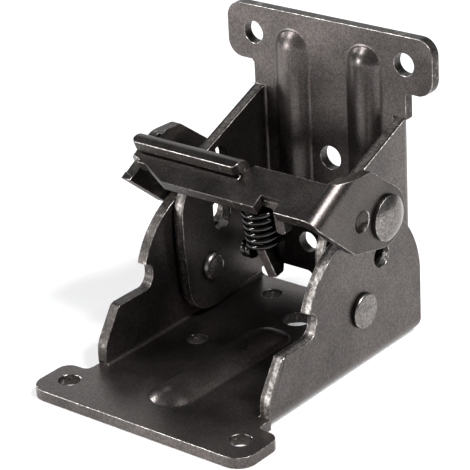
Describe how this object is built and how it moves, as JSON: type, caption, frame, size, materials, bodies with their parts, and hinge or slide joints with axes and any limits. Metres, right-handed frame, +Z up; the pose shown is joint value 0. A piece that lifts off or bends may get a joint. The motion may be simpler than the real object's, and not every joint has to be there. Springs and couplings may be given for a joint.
{
  "type": "self-locking folding hinge",
  "caption": "Pressed steel folding bracket whose leg plate locks upright or folded on the base plate by a sprung cross pin with a release lever.",
  "frame": {"origin": "midpoint between the base plate's two ear holes, on its mounting face", "axes": "+X along the pivot to the right seen from the front, +Y back towards the upright leg plate, +Z up out of the base plate"},
  "size_m": [0.0576, 0.0725, 0.0675],
  "materials": {
    "dark_steel": "blackened satin",
    "rivet_steel": "matte, slightly lighter",
    "spring_steel": "glossy black wire"
  },
  "bodies": {
    "lower": {"lower_bracket": "dark_steel", "pivot_rivet_left": "rivet_steel", "pivot_rivet_right": "rivet_steel"},
    "upper": {"upper_bracket": "dark_steel"},
    "lock_pin": {"lock_pin": "rivet_steel"},
    "lever": {"lock_lever": "dark_steel", "return_spring": "spring_steel"}
  },
  "joints": [
    {"name": "fold", "type": "hinge", "parent": "lower", "child": "upper", "pos_m": [0, 0.042, 0.0139], "axis": [1, 0, 0], "range_deg": [0, 90]},
    {"name": "lock_lift", "type": "slide", "parent": "upper", "child": "lock_pin", "axis": [0, 0, 1], "range_m": [-0.0026, 0.0026], "stiffness_N_per_m": 500},
    {"name": "lever_swing", "type": "hinge", "parent": "lock_pin", "child": "lever", "pos_m": [0, 0.0466, 0.03429], "axis": [1, 0, 0], "range_deg": [-75, 0]}
  ],
  "couplings": [
    {"joint": "lever_swing", "follows": "fold", "ratio": -0.83333}
  ]
}
